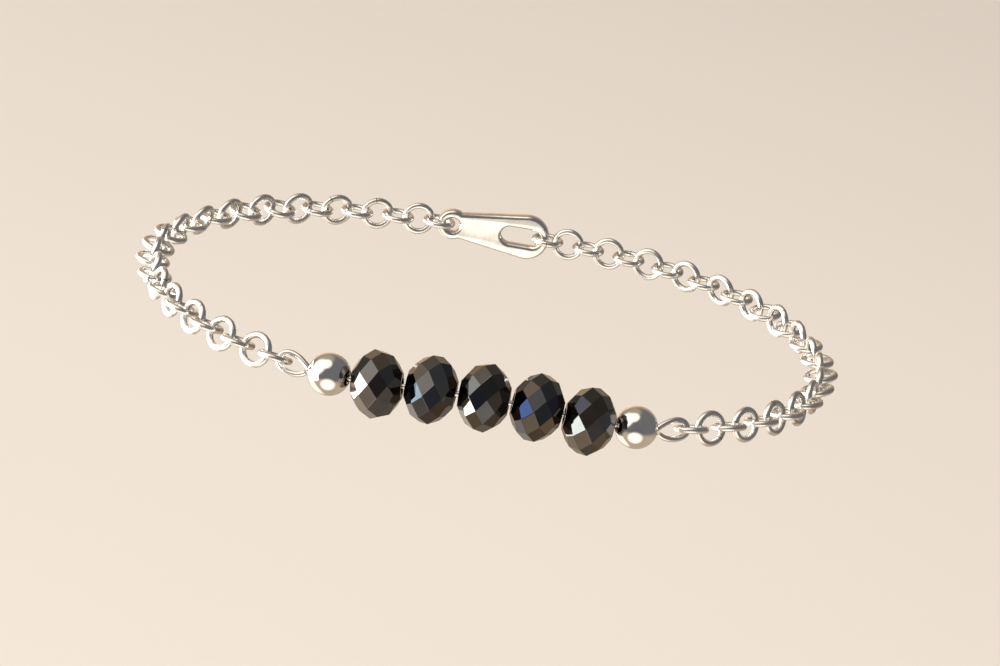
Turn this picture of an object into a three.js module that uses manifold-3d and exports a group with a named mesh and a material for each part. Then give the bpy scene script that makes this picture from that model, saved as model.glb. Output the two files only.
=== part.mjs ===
// A chain bracelet: faceted black glass beads between two round silver beads on a wire with an eye at
// each end, a round-link chain hooked to either eye, and a claw clasp that joins the chains at the back.
//
// Millimetres. The loop lies in the XY plane with the beads in front, on -Y. The wrist runs along +Z
// through the origin, which is the middle of the loop. The loop is alike on its left and right.

import * as THREE from 'three';
import { ConvexGeometry } from 'three/addons/geometries/ConvexGeometry.js';
import { mergeVertices } from 'three/addons/utils/BufferGeometryUtils.js';
import Module from 'manifold-3d';

const wasm = await Module();
wasm.setup();

const { degToRad } = THREE.MathUtils;

// ---------------------------------------------------------------------------- driving dimensions

// Faceted beads. The belt and crown places are shares of half the bead's length.
const CRYSTAL = {
  diameter: 6.0,
  length: 4.36,
  sides: 8,
  beltAt: 0.185,
  crownAt: 0.57,
  shoulderAt: 0.78,
  boreRadius: 0.7,
  boreSides: 12,
};
const BEAD_GAP = 0.26;

// How each faceted bead sits on the wire, from left to right: its turn about the wire, its tilt up to
// the right and its swing to the back at the right in degrees, and how far it rides above the wire's
// middle.
const CRYSTAL_SEATS = [
  { node: 'crystal_1', turn: 4.5, tilt: 4, swing: -1, lift: -0.1 },
  { node: 'crystal_2', turn: 16.5, tilt: -4.5, swing: -3.5, lift: 0.06 },
  { node: 'crystal_3', turn: 28.5, tilt: 1, swing: -5, lift: 0.08 },
  { node: 'crystal_4', turn: 12, tilt: -2, swing: -3, lift: 0.1 },
  { node: 'crystal_5', turn: 17.5, tilt: 0.5, swing: -4.5, lift: -0.12 },
];

// Round silver beads.
const SILVER_BEAD = { diameter: 3.75, boreRadius: 0.5, sides: 16, arcSteps: 9 };

// The wire through the beads, and the teardrop eye bent at each of its ends.
const PIN = { wireRadius: 0.25, sides: 8, stemSteps: 12 };
const EYE = {
  length: 3.15,
  height: 2.2,
  clearOfBead: 0.1,
  endGap: 0.06,
  pointinessOut: 1,
  pointinessBack: 0,
  steps: 16,
};

// Chain links are round rings of round wire. Neighbours bite into each other a little, which fuses
// each chain into one body.
const LINK = { outerDiameter: 3.2, wireRadius: 0.31, wireSides: 6, ringSides: 12, bite: 0.08 };
const LINKS_A_SIDE = 33;
const HOOK_GAP = 0.3;

// The chains roll towards the front of the wrist, less and less towards the clasp, and each link
// departs from that by up to the wobble. Degrees.
const CHAIN_ROLL = -18;
const LINK_WOBBLE = 7;
const WOBBLE_STEP = 137.5;

// The claw clasp is a plate with a round eye at its right end and a long hook slot at its left.
const CLASP = {
  thickness: 1.2,
  bevel: 0.2,
  barThickness: 0.8,
  reach: 5.5,
  eyeHoleRadius: 0.68,
  bodyHeight: 4.4,
  slotLength: 3.9,
  slotHeight: 1.7,
};

// Seen along the wrist the loop is an oval of arcs, alike on its left and right, with the beads in the
// middle of its nearly straight front. Their wire arches up over its own length.
const LOOP = {
  frontRadius: 100,
  frontTurn: degToRad(5.3),
  sideTurn: degToRad(163),
  wireArch: 0.7,
};

// ---------------------------------------------------------------------------- derived places

const crystalPitch = CRYSTAL.length + BEAD_GAP;
const crystalRowEnd = crystalPitch * (CRYSTAL_SEATS.length - 1) / 2 + CRYSTAL.length / 2;
const silverHalfLength = Math.sqrt((SILVER_BEAD.diameter / 2) ** 2 - SILVER_BEAD.boreRadius ** 2);
const silverPlace = crystalRowEnd + BEAD_GAP + silverHalfLength;
const eyeStart = silverPlace + silverHalfLength + EYE.clearOfBead;
const eyeWirePlace = eyeStart + EYE.length - PIN.wireRadius;

const linkRadius = LINK.outerDiameter / 2 - LINK.wireRadius;
const linkPitch = 2 * (linkRadius - LINK.wireRadius) + LINK.bite;
const firstLinkPlace = eyeWirePlace - PIN.wireRadius - HOOK_GAP - LINK.wireRadius + linkRadius;
const lastLinkPlace = firstLinkPlace + linkPitch * (LINKS_A_SIDE - 1);
const lastLinkToClaspMiddle = CLASP.reach - CLASP.barThickness - HOOK_GAP - LINK.wireRadius + linkRadius;
const halfLength = lastLinkPlace + lastLinkToClaspMiddle;

// ---------------------------------------------------------------------------- the loop's line

/**
 * The line that the bracelet follows, measured by s from the middle of the beads, positive to the
 * right. The oval's side and back radii follow from its length and from its closing at the back.
 */
class LoopLine {
  constructor() {
    const { frontRadius, frontTurn, sideTurn } = LOOP;
    const backStart = frontTurn + sideTurn;
    const backTurn = Math.PI - backStart;
    const sideReach = Math.sin(backStart) - Math.sin(frontTurn);
    const backReach = -Math.sin(backStart);
    const reachLeft = -frontRadius * Math.sin(frontTurn);
    const lengthLeft = halfLength - frontRadius * frontTurn;
    const determinant = sideReach * backTurn - backReach * sideTurn;
    this.arcs = [
      { radius: frontRadius, turn: frontTurn },
      { radius: (reachLeft * backTurn - backReach * lengthLeft) / determinant, turn: sideTurn },
      { radius: (sideReach * lengthLeft - sideTurn * reachLeft) / determinant, turn: backTurn },
    ];
    this.depth = this.walk(halfLength).y;
  }

  /** Follows the oval's right half for a length from its front: the place reached and its heading. */
  walk(length) {
    let x = 0;
    let y = 0;
    let heading = 0;
    let left = length;
    for (const { radius, turn } of this.arcs) {
      const step = Math.min(turn, left / radius);
      x += radius * (Math.sin(heading + step) - Math.sin(heading));
      y -= radius * (Math.cos(heading + step) - Math.cos(heading));
      heading += step;
      left -= radius * step;
      if (step < turn) break;
    }
    return { x, y, heading };
  }

  /** The point at s, with the line's turn about +Z from +X and its climb above the XY plane. */
  at(s) {
    const side = Math.sign(s);
    const { x, y, heading } = this.walk(Math.abs(s));
    const wave = Math.PI / eyeStart;
    const share = THREE.MathUtils.clamp(s, -eyeStart, eyeStart);
    const z = LOOP.wireArch / 2 * Math.cos(wave * share);
    const climb = Math.atan(-LOOP.wireArch / 2 * wave * Math.sin(wave * share));
    return { point: new THREE.Vector3(side * x, y - this.depth / 2, z), turn: side * heading, climb };
  }

  /** Moves an object whose own +X follows the line to s, with its angles in degrees. */
  place(object, s, { roll = 0, tilt = 0, swing = 0, lift = 0 } = {}) {
    const { point, turn, climb } = this.at(s);
    object.position.copy(point);
    object.position.z += lift;
    object.rotation.set(degToRad(roll), -degToRad(tilt) - climb, turn + degToRad(swing), 'ZYX');
    object.updateMatrix();
    return object;
  }
}

const loopLine = new LoopLine();

// ---------------------------------------------------------------------------- solids

/** A closed geometry as a manifold solid, moved by matrix. */
function toSolid(geometry, matrix = new THREE.Matrix4()) {
  const bare = geometry.clone().applyMatrix4(matrix);
  bare.deleteAttribute('normal');
  bare.deleteAttribute('uv');
  const merged = mergeVertices(bare, 1e-5);
  const triVerts = new Uint32Array(merged.index.array);
  return new wasm.Manifold(new wasm.Mesh({
    numProp: 3,
    vertProperties: new Float32Array(merged.attributes.position.array),
    triVerts,
  }));
}

/** A manifold solid as a three.js geometry with flat faces. */
function toGeometry(solid) {
  const { vertProperties, triVerts } = solid.getMesh();
  const geometry = new THREE.BufferGeometry();
  geometry.setAttribute('position', new THREE.BufferAttribute(vertProperties, 3));
  geometry.setIndex(new THREE.BufferAttribute(triVerts, 1));
  return geometry;
}

/** A circle as a shape with the given number of sides, the first corner on +X. */
function circleShape(radius, sides) {
  const corners = Array.from({ length: sides }, (_, i) => {
    const angle = 2 * Math.PI * i / sides;
    return new THREE.Vector2(radius * Math.cos(angle), radius * Math.sin(angle));
  });
  return new THREE.Shape(corners);
}

// ---------------------------------------------------------------------------- faceted beads

/**
 * The bead's rings of corners along its axis. Each half has a belt, a crown and a shoulder, and a
 * table at its end. The radii follow from the places along the bead, so that every facet is flat.
 * A ring's offset is its turn, in half sides.
 */
function crystalRings() {
  const { beltAt, crownAt, shoulderAt, sides } = CRYSTAL;
  const flat = Math.cos(Math.PI / sides);
  const radiusAt = (share, start, end) => (flat * start - share * end) / (1 - share);
  const crown = radiusAt((crownAt - beltAt) / (crownAt + beltAt), 1, 1);
  const shoulder = radiusAt((shoulderAt - crownAt) / (shoulderAt - beltAt), crown, 1);
  const slope = (crown - shoulder * flat) / (shoulderAt - crownAt);
  const table = shoulder - slope * (1 - shoulderAt) / flat;
  const half = [
    { at: beltAt, radius: 1, offset: 0 },
    { at: crownAt, radius: crown, offset: 1 },
    { at: shoulderAt, radius: shoulder, offset: 0 },
    { at: 1, radius: table, offset: 0 },
  ];
  return half.flatMap(({ at, radius, offset }) => [
    { at, radius, offset },
    { at: -at, radius, offset: 1 - offset },
  ]);
}

function crystalGeometry() {
  const { diameter, length, sides, boreRadius, boreSides } = CRYSTAL;
  const corners = crystalRings().flatMap(({ at, radius, offset }) =>
    Array.from({ length: sides }, (_, i) => {
      const angle = (2 * i + offset) * Math.PI / sides;
      const out = radius * diameter / 2;
      return new THREE.Vector3(at * length / 2, -out * Math.cos(angle), out * Math.sin(angle));
    }));
  const bore = new THREE.CylinderGeometry(boreRadius, boreRadius, 2 * length, boreSides);
  bore.rotateZ(Math.PI / 2);
  return toGeometry(toSolid(new ConvexGeometry(corners)).subtract(toSolid(bore)));
}

// ---------------------------------------------------------------------------- silver beads

function silverBeadGeometry() {
  const { diameter, boreRadius, sides, arcSteps } = SILVER_BEAD;
  const boreAngle = Math.asin(boreRadius / (diameter / 2));
  const profile = Array.from({ length: arcSteps + 1 }, (_, i) => {
    const angle = THREE.MathUtils.lerp(Math.PI - boreAngle, boreAngle, i / arcSteps);
    return new THREE.Vector2(Math.sin(angle), Math.cos(angle)).multiplyScalar(diameter / 2);
  });
  profile.push(profile[0].clone());
  return new THREE.LatheGeometry(profile, sides).rotateZ(-Math.PI / 2);
}

// ---------------------------------------------------------------------------- eye pin

/**
 * The middle line of the wire: the left eye, the stem through the beads and the right eye. An eye
 * leaves the stem upwards, turns round its far end and comes back below, up to the round bead.
 */
class PinCurve extends THREE.Curve {
  constructor() {
    super();
    this.steps = 2 * EYE.steps + PIN.stemSteps;
    this.eyeShare = EYE.steps / this.steps;
    this.eyeEnd = this.findEyeEnd();
    this.seats = { left: this.eyeSeat(-1), right: this.eyeSeat(1) };
  }

  /** The matrix of the eye at one end of the stem, its own +X pointing away from the beads. */
  eyeSeat(side) {
    const seat = loopLine.place(new THREE.Object3D(), side * eyeStart, { roll: CHAIN_ROLL });
    if (side < 0) seat.matrix.multiply(new THREE.Matrix4().makeRotationZ(Math.PI));
    return seat.matrix;
  }

  /**
   * The eye's own outline at an angle from 0 to a whole turn, in its XZ plane: half a teardrop on
   * the way out and half an ellipse on the way back.
   */
  teardrop(angle) {
    const lengthHere = EYE.length - PIN.wireRadius;
    const halfHeight = EYE.height / 2 - PIN.wireRadius;
    const pointiness = angle < Math.PI ? EYE.pointinessOut : EYE.pointinessBack;
    const widestSine = Math.sqrt((1 + pointiness) / (2 + pointiness));
    const widest = 2 * widestSine ** (1 + pointiness) / Math.sqrt(2 + pointiness);
    const swell = Math.sin(angle) * Math.sin(angle / 2) ** pointiness / widest;
    return new THREE.Vector3(lengthHere * (1 - Math.cos(angle)) / 2, 0, halfHeight * swell);
  }

  /** The last angle at which the wire coming back still clears the wire going out. */
  findEyeEnd() {
    const apart = 2 * PIN.wireRadius + EYE.endGap;
    let angle = 2 * Math.PI;
    while (this.teardrop(2 * Math.PI - angle).z - this.teardrop(angle).z < apart) angle -= degToRad(1);
    return angle;
  }

  getPoint(t) {
    if (t < this.eyeShare) return this.eyePoint(1 - t / this.eyeShare, this.seats.left);
    if (t > 1 - this.eyeShare) return this.eyePoint(1 - (1 - t) / this.eyeShare, this.seats.right);
    const share = (t - this.eyeShare) / (1 - 2 * this.eyeShare);
    return loopLine.at(THREE.MathUtils.lerp(-eyeStart, eyeStart, share)).point;
  }

  eyePoint(share, seat) {
    return this.teardrop(share * this.eyeEnd).applyMatrix4(seat);
  }

  // Stations follow t rather than the length, so the tight eyes get more of them than the stem.
  getPointAt(u) {
    return this.getPoint(u);
  }

  getTangentAt(u) {
    return this.getTangent(u);
  }
}

function eyePinGeometry() {
  const curve = new PinCurve();
  const section = circleShape(PIN.wireRadius, PIN.sides);
  return new THREE.ExtrudeGeometry(section, { steps: curve.steps, extrudePath: curve });
}

// ---------------------------------------------------------------------------- chains

/** One chain, from the eye to the clasp: links that lie flat and stand on edge in turn. */
function chainGeometry(side) {
  const ring = new THREE.TorusGeometry(linkRadius, LINK.wireRadius, LINK.wireSides, LINK.ringSides);
  const links = Array.from({ length: LINKS_A_SIDE }, (_, i) => {
    const toClasp = i / (LINKS_A_SIDE - 1);
    const wobble = LINK_WOBBLE * Math.sin(degToRad(WOBBLE_STEP * i)) * Math.sin(Math.PI * toClasp);
    const roll = CHAIN_ROLL * (1 - toClasp) + (i % 2) * 90 + side * wobble;
    const link = loopLine.place(new THREE.Object3D(), side * (firstLinkPlace + linkPitch * i), { roll });
    return toSolid(ring, link.matrix);
  });
  return toGeometry(wasm.Manifold.union(links));
}

// ---------------------------------------------------------------------------- clasp

/** The clasp's outline: round at the eye, narrow behind it, and a long claw at the other end. */
function claspGeometry() {
  const { thickness, bevel, barThickness, reach, eyeHoleRadius, bodyHeight, slotLength, slotHeight } = CLASP;
  const eyeRadius = eyeHoleRadius + barThickness;
  const eyeMiddle = reach - eyeRadius;
  const clawRadius = bodyHeight / 2;
  const clawMiddle = clawRadius - reach;
  const outline = new THREE.Shape();
  outline.absarc(eyeMiddle, 0, eyeRadius - bevel, -Math.PI * 0.7, Math.PI * 0.7, false);
  outline.absarc(clawMiddle, 0, clawRadius - bevel, Math.PI * 0.42, Math.PI * 1.58, false);
  outline.closePath();

  const eyeHole = new THREE.Path();
  eyeHole.absarc(eyeMiddle, 0, eyeHoleRadius + bevel, 0, 2 * Math.PI, true);
  const slotRadius = slotHeight / 2 + bevel;
  const slotStart = barThickness + slotHeight / 2 - reach;
  const slotEnd = slotStart + slotLength - slotHeight;
  const slot = new THREE.Path();
  slot.absarc(slotEnd, 0, slotRadius, Math.PI / 2, -Math.PI / 2, true);
  slot.absarc(slotStart, 0, slotRadius, -Math.PI / 2, -Math.PI * 1.5, true);
  slot.closePath();
  outline.holes.push(eyeHole, slot);

  const geometry = new THREE.ExtrudeGeometry(outline, {
    depth: thickness - 2 * bevel,
    bevelThickness: bevel,
    bevelSize: bevel,
    bevelSegments: 1,
    curveSegments: 7,
  });
  return geometry.translate(0, 0, bevel - thickness / 2).rotateX(Math.PI / 2);
}

// ---------------------------------------------------------------------------- the bracelet

const blackGlass = new THREE.MeshStandardMaterial({ color: 0x0b0b0e, roughness: 0.08, metalness: 0.3 });
const silver = new THREE.MeshStandardMaterial({ color: 0xd9d7d2, roughness: 0.15, metalness: 1 });

function namedMesh(name, geometry, material) {
  const mesh = new THREE.Mesh(geometry, material);
  mesh.name = name;
  return mesh;
}

/** Moves the clasp to the middle between the chains' last links, in line with both. */
function placeBetweenChains(clasp) {
  const rightEnd = loopLine.at(lastLinkPlace).point;
  const leftEnd = loopLine.at(-lastLinkPlace).point;
  const across = leftEnd.clone().sub(rightEnd);
  clasp.position.copy(rightEnd).add(leftEnd).divideScalar(2);
  clasp.rotation.z = Math.atan2(across.y, across.x);
  return clasp;
}

function buildBracelet() {
  const bracelet = new THREE.Group();
  bracelet.name = 'bracelet';

  const crystal = crystalGeometry();
  CRYSTAL_SEATS.forEach(({ node, turn, tilt, swing, lift }, i) => {
    const s = crystalPitch * (i - (CRYSTAL_SEATS.length - 1) / 2);
    const seat = { roll: turn, tilt, swing, lift };
    bracelet.add(loopLine.place(namedMesh(node, crystal, blackGlass), s, seat));
  });

  const silverBead = silverBeadGeometry();
  bracelet.add(loopLine.place(namedMesh('silver_bead_left', silverBead, silver), -silverPlace));
  bracelet.add(loopLine.place(namedMesh('silver_bead_right', silverBead, silver), silverPlace));

  bracelet.add(namedMesh('eye_pin', eyePinGeometry(), silver));
  bracelet.add(namedMesh('chain_left', chainGeometry(-1), silver));
  bracelet.add(namedMesh('chain_right', chainGeometry(1), silver));

  bracelet.add(placeBetweenChains(namedMesh('clasp', claspGeometry(), silver)));
  return bracelet;
}

export default buildBracelet();
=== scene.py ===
"""A chain bracelet: faceted dark beads between two silver balls on a wire, and a round-link chain.

The loop lies in the XY plane with the beads in front, on -Y, and the wrist runs along +Z. The
classes work in millimetres, and each piece's mesh is in metres once it is closed.
"""

import logging
import math
import random
from abc import ABC, abstractmethod
from collections.abc import Sequence
from dataclasses import dataclass
from enum import Enum
from functools import cache

import bmesh
import bpy
from bmesh.types import BMEdge, BMFace, BMLayerItem, BMVert, BMesh
from bpy.types import ID, Material, Mesh, Node, NodeInputs, NodeOutputs, NodeSocket
from bpy.types import NodeTree, Object
from mathutils import Matrix, Vector


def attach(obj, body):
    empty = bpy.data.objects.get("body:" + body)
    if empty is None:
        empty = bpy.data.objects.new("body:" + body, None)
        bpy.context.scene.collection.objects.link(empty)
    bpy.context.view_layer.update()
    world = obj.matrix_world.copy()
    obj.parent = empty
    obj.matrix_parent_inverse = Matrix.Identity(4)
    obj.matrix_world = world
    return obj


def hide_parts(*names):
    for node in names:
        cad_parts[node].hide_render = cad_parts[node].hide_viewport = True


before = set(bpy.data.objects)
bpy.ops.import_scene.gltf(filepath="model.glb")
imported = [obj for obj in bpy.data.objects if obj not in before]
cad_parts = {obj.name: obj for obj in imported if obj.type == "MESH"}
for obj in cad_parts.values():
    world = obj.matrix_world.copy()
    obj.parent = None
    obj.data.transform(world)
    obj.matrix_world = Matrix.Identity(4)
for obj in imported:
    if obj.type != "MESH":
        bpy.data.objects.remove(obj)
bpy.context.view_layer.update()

MM = 0.001
TO_METRES = Matrix.Scale(MM, 4)
QUARTER_TURN = 90.0

# In millimetres: corners that are nearer are one, and the scratches' depth at a relief of 1.
SAME_CORNER = 1e-4
SCRATCH_DEPTH = 0.01

# Mix and Random Value nodes have sockets for each data type. These are for colours and numbers.
MIX_COLOUR_INPUTS, MIX_COLOUR_OUTPUT = (0, 6, 7), 2
RANDOM_NUMBER_INPUTS, RANDOM_NUMBER_OUTPUT = (2, 3), 1

Pair = tuple[float, float]
Triple = tuple[float, float, float]
Colour = Triple

log = logging.getLogger("bracelet")


# ---- Names to choose from ----


class Side(Enum):
    """A side of the bracelet, as the sign of the place along its line."""

    LEFT = -1
    RIGHT = 1

    @property
    def word(self) -> str:
        """The side's name as it stands in the node names."""
        return self.name.lower()


class FacetKind(Enum):
    """The three rows of facets on each half of a faceted bead, from its belt to its table."""

    BELT = "belt"
    CROWN = "crown"
    SHOULDER = "shoulder"


class CoatTint(Enum):
    """The tints that the dark mirror coat takes from facet to facet, and the painted reflection
    tints that set the colour and brightness of each bead's flash.
    """

    NEUTRAL = (1.00, 1.00, 1.00)
    WARM = (1.00, 0.86, 0.70)
    STEEL = (0.84, 0.93, 1.00)
    INK = (0.42, 0.46, 0.62)
    WHITE = (1.30, 1.30, 1.26)
    CLEAR = (0.73, 0.79, 0.75)
    LEAF_WHITE = (1.22, 1.30, 1.12)
    PALE_BLUE = (0.31, 0.43, 0.52)
    DEEP_BLUE = (0.062, 0.105, 0.26)


# How often each common tint comes up. The others are painted reflection tints for the one flashing
# facet of each bead: they set the colour and brightness of its flash.
COMMON_TINTS = {CoatTint.NEUTRAL: 5, CoatTint.WARM: 4, CoatTint.STEEL: 3, CoatTint.INK: 1}


class Goes(Enum):
    """What goes into or out of a node group."""

    NUMBER = "NodeSocketFloat"
    COUNT = "NodeSocketInt"
    SHAPE = "NodeSocketGeometry"
    FINISH = "NodeSocketMaterial"


class Ease(Enum):
    """How a value goes from one end of a range to the other."""

    STRAIGHT = "LINEAR"
    SOFT = "SMOOTHSTEP"
    SOFTER = "SMOOTHERSTEP"


# ---- The loop's line ----


@dataclass(frozen=True)
class LinePlace:
    """A place on the loop's line: its point, its turn about +Z and its climb, in radians."""

    point: Vector
    turn: float
    climb: float


@dataclass(frozen=True)
class Oval:
    """The oval of arcs that the bracelet follows, measured by s from the middle of the beads."""

    half_length: float
    wire_reach: float
    front_radius: float = 100.0
    front_turn: float = math.radians(5.3)
    side_turn: float = math.radians(163)
    wire_arch: float = 0.7

    @property
    def arcs(self) -> tuple[Pair, ...]:
        """The arcs of the oval's right half, which close it at the back.

        Returns:
            The radius and turn of the front, side and back arcs.
        """
        back_start = self.front_turn + self.side_turn
        back_turn = math.pi - back_start
        side_reach = math.sin(back_start) - math.sin(self.front_turn)
        back_reach = -math.sin(back_start)
        reach_left = -self.front_radius * math.sin(self.front_turn)
        length_left = self.half_length - self.front_radius * self.front_turn
        determinant = side_reach * back_turn - back_reach * self.side_turn
        side_radius = (reach_left * back_turn - back_reach * length_left) / determinant
        back_radius = (side_reach * length_left - self.side_turn * reach_left) / determinant
        return (
            (self.front_radius, self.front_turn),
            (side_radius, self.side_turn),
            (back_radius, back_turn),
        )

    def walk(self, length: float) -> Triple:
        """Follows the oval's right half from its front.

        Args:
            length: The length to follow.

        Returns:
            The place reached across and back, and the heading in radians.
        """
        across = back = heading = 0.0
        left = length
        for radius, turn in self.arcs:
            step = min(turn, left / radius)
            across += radius * (math.sin(heading + step) - math.sin(heading))
            back -= radius * (math.cos(heading + step) - math.cos(heading))
            heading += step
            left -= radius * step
            if step < turn:
                break
        return across, back, heading

    def at(self, s: float) -> LinePlace:
        """Finds the place on the line at s.

        Args:
            s: The length along the line from the middle of the beads, positive to the right.

        Returns:
            The place, its turn and its climb.
        """
        side = math.copysign(1.0, s)
        across, back, heading = self.walk(abs(s))
        depth = self.walk(self.half_length)[1]
        wave = math.pi / self.wire_reach
        share = min(max(s, -self.wire_reach), self.wire_reach)
        height = self.wire_arch / 2 * math.cos(wave * share)
        climb = math.atan(-self.wire_arch / 2 * wave * math.sin(wave * share))
        return LinePlace(Vector((side * across, back - depth / 2, height)), side * heading, climb)

    def seat(
        self,
        s: float,
        roll: float = 0.0,
        tilt: float = 0.0,
        swing: float = 0.0,
        lift: float = 0.0,
    ) -> Matrix:
        """Gives the matrix that seats a piece on the line, its own +X following the line.

        Args:
            s: The place along the line.
            roll: The turn about the line, in degrees.
            tilt: The lean upwards along the line, in degrees.
            swing: The extra turn about +Z, in degrees.
            lift: The height above the line.

        Returns:
            The seat as a matrix.
        """
        place = self.at(s)
        return (
            Matrix.Translation(place.point + Vector((0, 0, lift)))
            @ Matrix.Rotation(place.turn + math.radians(swing), 4, "Z")
            @ Matrix.Rotation(-math.radians(tilt) - place.climb, 4, "Y")
            @ Matrix.Rotation(math.radians(roll), 4, "X")
        )


# ---- Meshes and objects ----


def put_in_scene(name: str, data: ID) -> Object:
    """Makes an object of some data and links it to the scene.

    Args:
        name: The object's name.
        data: Its mesh, curve, light or camera.

    Returns:
        The object.
    """
    made = bpy.data.objects.new(name, data)
    bpy.context.scene.collection.objects.link(made)
    return made


def finish_piece(mesh: Mesh, node: str, material: Material) -> Object:
    """Makes a closed mesh one of the bracelet's pieces, in the place of a plain node.

    Args:
        mesh: The piece's mesh, in metres and in place. The piece takes its name.
        node: The plain node that it stands for.
        material: Its finish.

    Returns:
        The piece's object.
    """
    mesh.materials.clear()
    mesh.materials.append(material)
    piece = put_in_scene(mesh.name, mesh)
    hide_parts(node)
    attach(piece, "root")
    return piece


def add_wall(form: BMesh, ring: list[BMVert], other: list[BMVert]) -> list[BMFace]:
    """Closes the wall between two rings.

    Args:
        form: The form that they are in.
        ring: One ring.
        other: The other ring, with as many corners.

    Returns:
        The wall's faces.
    """
    steps = zip(ring, ring[1:] + ring[:1], other[1:] + other[:1], other)
    return [form.faces.new(corners) for corners in steps]


def close_mesh(form: BMesh, name: str, sharp: float, seat: Matrix | None = None) -> Mesh:
    """Turns a form's faces outwards and makes it a mesh in metres, smooth but for its sharp edges.

    Args:
        form: The form. It is freed.
        name: The mesh's name.
        sharp: The angle from which an edge is sharp, in degrees.
        seat: The seat of a form in millimetres, or None for one that is in metres and in place.

    Returns:
        The mesh.
    """
    bmesh.ops.recalc_face_normals(form, faces=form.faces)
    if seat is not None:
        form.transform(TO_METRES @ seat)
    mesh = bpy.data.meshes.new(name)
    form.to_mesh(mesh)
    form.free()
    mesh.polygons.foreach_set("use_smooth", [True] * len(mesh.polygons))
    mesh.set_sharp_from_angle(angle=math.radians(sharp))
    return mesh


def merged_form(carrier: Object, apart: float) -> BMesh:
    """Takes an object's evaluated shape as a form, with its doubled corners merged.

    Args:
        carrier: The object. It is removed with its data.
        apart: The distance within which corners are one.

    Returns:
        The form.
    """
    bpy.context.view_layer.update()
    evaluated = carrier.evaluated_get(bpy.context.evaluated_depsgraph_get())
    mesh = bpy.data.meshes.new_from_object(evaluated)
    form = bmesh.new()
    form.from_mesh(mesh)
    bmesh.ops.remove_doubles(form, verts=form.verts, dist=apart)
    carrier.modifiers.clear()
    data = carrier.data
    bpy.data.objects.remove(carrier)
    (bpy.data.meshes if isinstance(data, Mesh) else bpy.data.curves).remove(data)
    bpy.data.meshes.remove(mesh)
    return form


def grown_mesh(
    name: str,
    points: Sequence[Vector],
    tree: NodeTree,
    values: dict[str, object],
    sharp: float,
) -> Mesh:
    """Runs a geometry tree over an open line and keeps the result as a plain mesh.

    Args:
        name: The mesh's name.
        points: The line's points, in millimetres.
        tree: The tree.
        values: The tree's inputs by name, with sizes in metres.
        sharp: The angle from which an edge is sharp, in degrees.

    Returns:
        The mesh, in metres.
    """
    corners = [point * MM for point in points]
    line = bpy.data.meshes.new(f"{name}_line")
    line.from_pydata(corners, [(i, i + 1) for i in range(len(corners) - 1)], [])
    carrier = put_in_scene(f"{name}_line", line)
    modifier = carrier.modifiers.new(tree.name, "NODES")
    modifier.node_group = tree
    for item in tree.interface.items_tree:
        if item.in_out == "INPUT" and item.name in values:
            modifier[item.identifier] = values[item.name]
    carrier.update_tag()
    return close_mesh(merged_form(carrier, SAME_CORNER * MM), name, sharp)


# ---- Node trees ----


@dataclass
class NodeBench:
    """A node tree and short ways to add and join its nodes."""

    tree: NodeTree

    def add(self, kind: str, settings: dict[str, object] | None = None, **inputs: object) -> Node:
        """Adds a node.

        Args:
            kind: The node's type.
            settings: Its own properties.
            **inputs: Its inputs by name, with _ for a space, as feed takes them.

        Returns:
            The node.
        """
        node = self.tree.nodes.new(kind)
        for name, value in (settings or {}).items():
            setattr(node, name, value)
        for name, value in inputs.items():
            self.feed(node.inputs[name.replace("_", " ")], value)
        return node

    def feed(self, socket: NodeSocket, value: object) -> None:
        """Links an input, or sets its value.

        Args:
            socket: The input.
            value: The socket to link it to, or its value. A colour is given full cover.
        """
        if isinstance(value, NodeSocket):
            self.tree.links.new(value, socket)
        else:
            socket.default_value = (*value, 1.0) if socket.type == "RGBA" else value

    def work_out(
        self, kind: str, settings: dict[str, object] | None, *values: object
    ) -> NodeSocket:
        """Adds a node whose inputs are given in their order.

        Args:
            kind: The node's type.
            settings: Its own properties.
            *values: Its first inputs, as feed takes them.

        Returns:
            The node's first output.
        """
        node = self.add(kind, settings)
        for socket, value in zip(node.inputs, values):
            self.feed(socket, value)
        return node.outputs[0]

    def math(self, operation: str, *values: object) -> NodeSocket:
        """Adds a Math node over sockets or numbers and gives its result."""
        return self.work_out("ShaderNodeMath", {"operation": operation}, *values)

    def mix(self, share: object, first: object, second: object, blend: str = "MIX") -> NodeSocket:
        """Mixes two colours.

        Args:
            share: How much of the second colour there is.
            first: The first colour.
            second: The second colour.
            blend: How the second goes over the first.

        Returns:
            The mixed colour.
        """
        node = self.add("ShaderNodeMix", {"data_type": "RGBA", "blend_type": blend})
        for place, value in zip(MIX_COLOUR_INPUTS, (share, first, second)):
            self.feed(node.inputs[place], value)
        return node.outputs[MIX_COLOUR_OUTPUT]

    def ramp(
        self, value: object, span: Pair, gives: Pair = (0.0, 1.0), ease: Ease = Ease.STRAIGHT
    ) -> NodeSocket:
        """Turns a value's range into a share, and holds it at the ends.

        Args:
            value: The value.
            span: The two ends of its range.
            gives: What comes out at each end.
            ease: How it goes from one to the other.

        Returns:
            The share.
        """
        return self.add(
            "ShaderNodeMapRange",
            {"clamp": True, "interpolation_type": ease.value},
            Value=value,
            From_Min=span[0],
            From_Max=span[1],
            To_Min=gives[0],
            To_Max=gives[1],
        ).outputs["Result"]

    def cloud(self, place: object, fineness: object, **look: float) -> NodeSocket:
        """Adds a noise texture at a place and gives its value."""
        noise = self.add("ShaderNodeTexNoise", Vector=place, Scale=fineness, **look)
        return noise.outputs["Fac"]


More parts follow.
